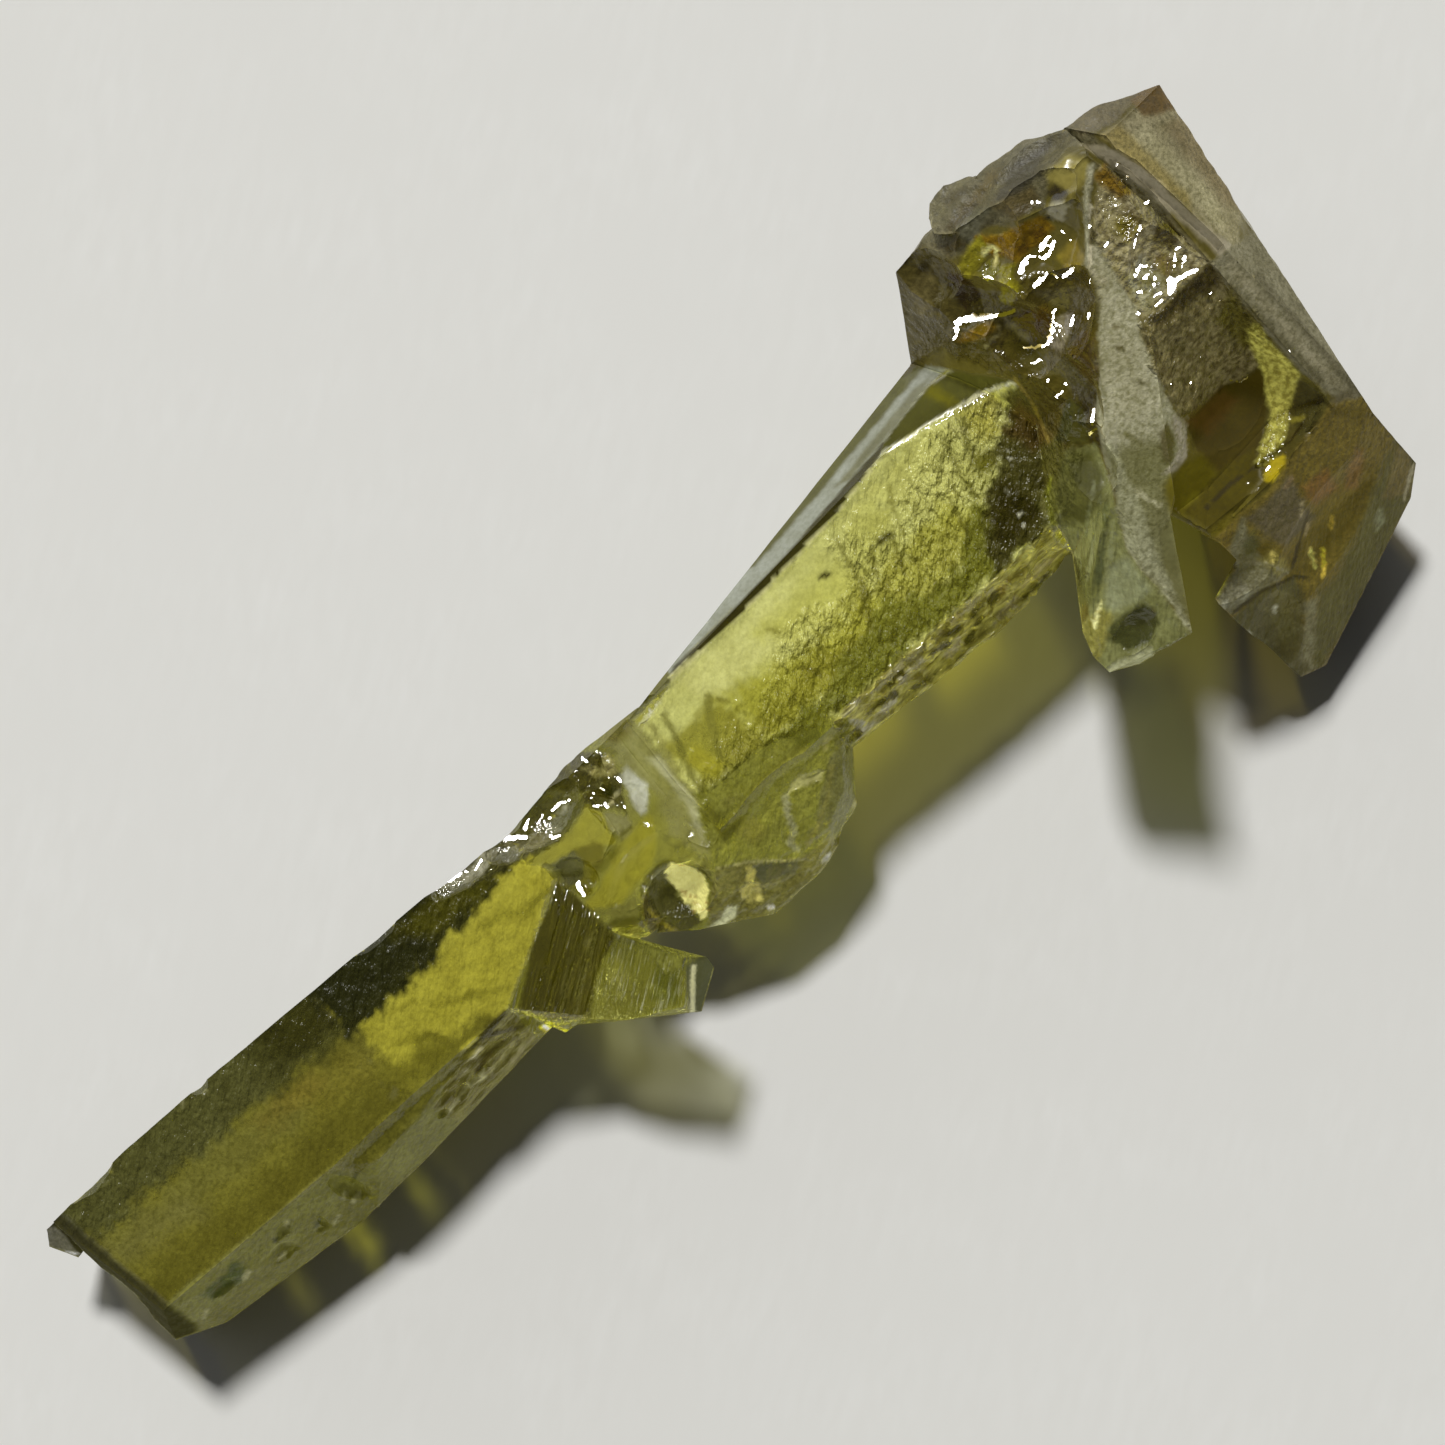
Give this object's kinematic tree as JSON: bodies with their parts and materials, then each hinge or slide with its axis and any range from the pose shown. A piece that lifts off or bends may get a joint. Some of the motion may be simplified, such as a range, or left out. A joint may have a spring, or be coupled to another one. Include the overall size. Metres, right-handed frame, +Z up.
{
  "type": "zincite crystal",
  "caption": "Long see-through yellow-green zincite crystal, lying down, with a heavy fractured head, a frosted fin, a small side spur and a broken thin end.",
  "frame": {"origin": "bottom centre of the crystal's box, on the surface it lies on", "axes": "+X along the crystal from its thin end to its head, +Z up, +Y away from the side that the spur and fin stand out on"},
  "size_m": [0.0496, 0.0192, 0.0112],
  "materials": {
    "crystal": "clear yellow-green crystal with glossy shell-shaped breaks, frosted along its thin end, fin and lobe"
  },
  "bodies": {
    "root": {"crystal": "crystal"}
  },
  "joints": []
}
